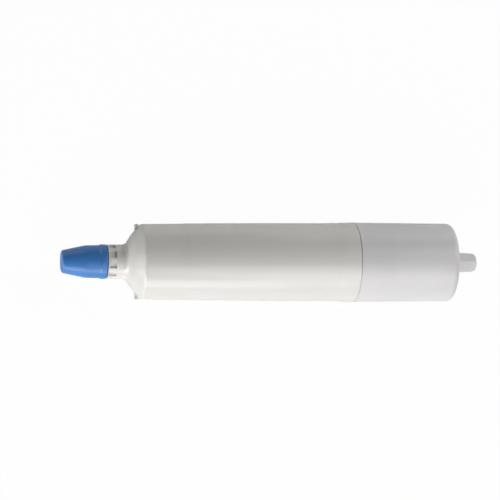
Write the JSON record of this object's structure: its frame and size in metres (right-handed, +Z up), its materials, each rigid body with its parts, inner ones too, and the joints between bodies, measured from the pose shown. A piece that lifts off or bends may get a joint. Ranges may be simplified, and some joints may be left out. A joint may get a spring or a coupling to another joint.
{
  "type": "water filter cartridge",
  "caption": "Slim round refrigerator water filter cartridge with a domed shoulder, a pocketed neck, a welded end cap with a square grip post, and a blue cap that slides off the nozzle.",
  "frame": {"origin": "on the axis, at the face of the neck that stops against the filter head", "axes": "+X along the axis to the grip post, the nozzle to -X; +Z up as the cartridge lies; the two lugs are at +Y and -Y"},
  "size_m": [0.2965, 0.056, 0.056],
  "materials": {
    "white_moulding": "moulded polypropylene, satin to gloss",
    "end_cap_moulding": "moulded polypropylene, fine matt texture",
    "blue_cap": "moulded polyethylene, soft gloss",
    "label_film": "bare white polypropylene film, satin",
    "seal_rubber": "black moulded rubber",
    "disc_moulding": "natural moulded polypropylene",
    "hot_melt_glue": "pale amber hot-melt glue",
    "pressed_carbon": "pressed activated carbon, dull black",
    "core_moulding": "natural extruded polypropylene",
    "fleece": "white nonwoven fleece",
    "netting": "extruded polypropylene net"
  },
  "bodies": {
    "cartridge": {"housing": "white_moulding", "end_cap": "end_cap_moulding", "label_film": "label_film", "inlet_o_ring": "seal_rubber", "outlet_o_ring": "seal_rubber", "front_end_disc": "disc_moulding", "front_spigot_o_ring": "seal_rubber", "rear_spigot_o_ring": "seal_rubber", "front_glue_ring": "hot_melt_glue", "carbon_block": "pressed_carbon", "rear_glue_ring": "hot_melt_glue", "rear_end_disc": "disc_moulding", "core_tube": "core_moulding", "core_fleece": "fleece", "prefilter_fleece": "fleece", "netting_sleeve": "netting"},
    "cap": {"protective_cap": "blue_cap"}
  },
  "joints": [
    {"name": "cap_pull", "type": "slide", "parent": "cartridge", "child": "cap", "axis": [-1, 0, 0], "range_m": [0, 0.06]}
  ]
}
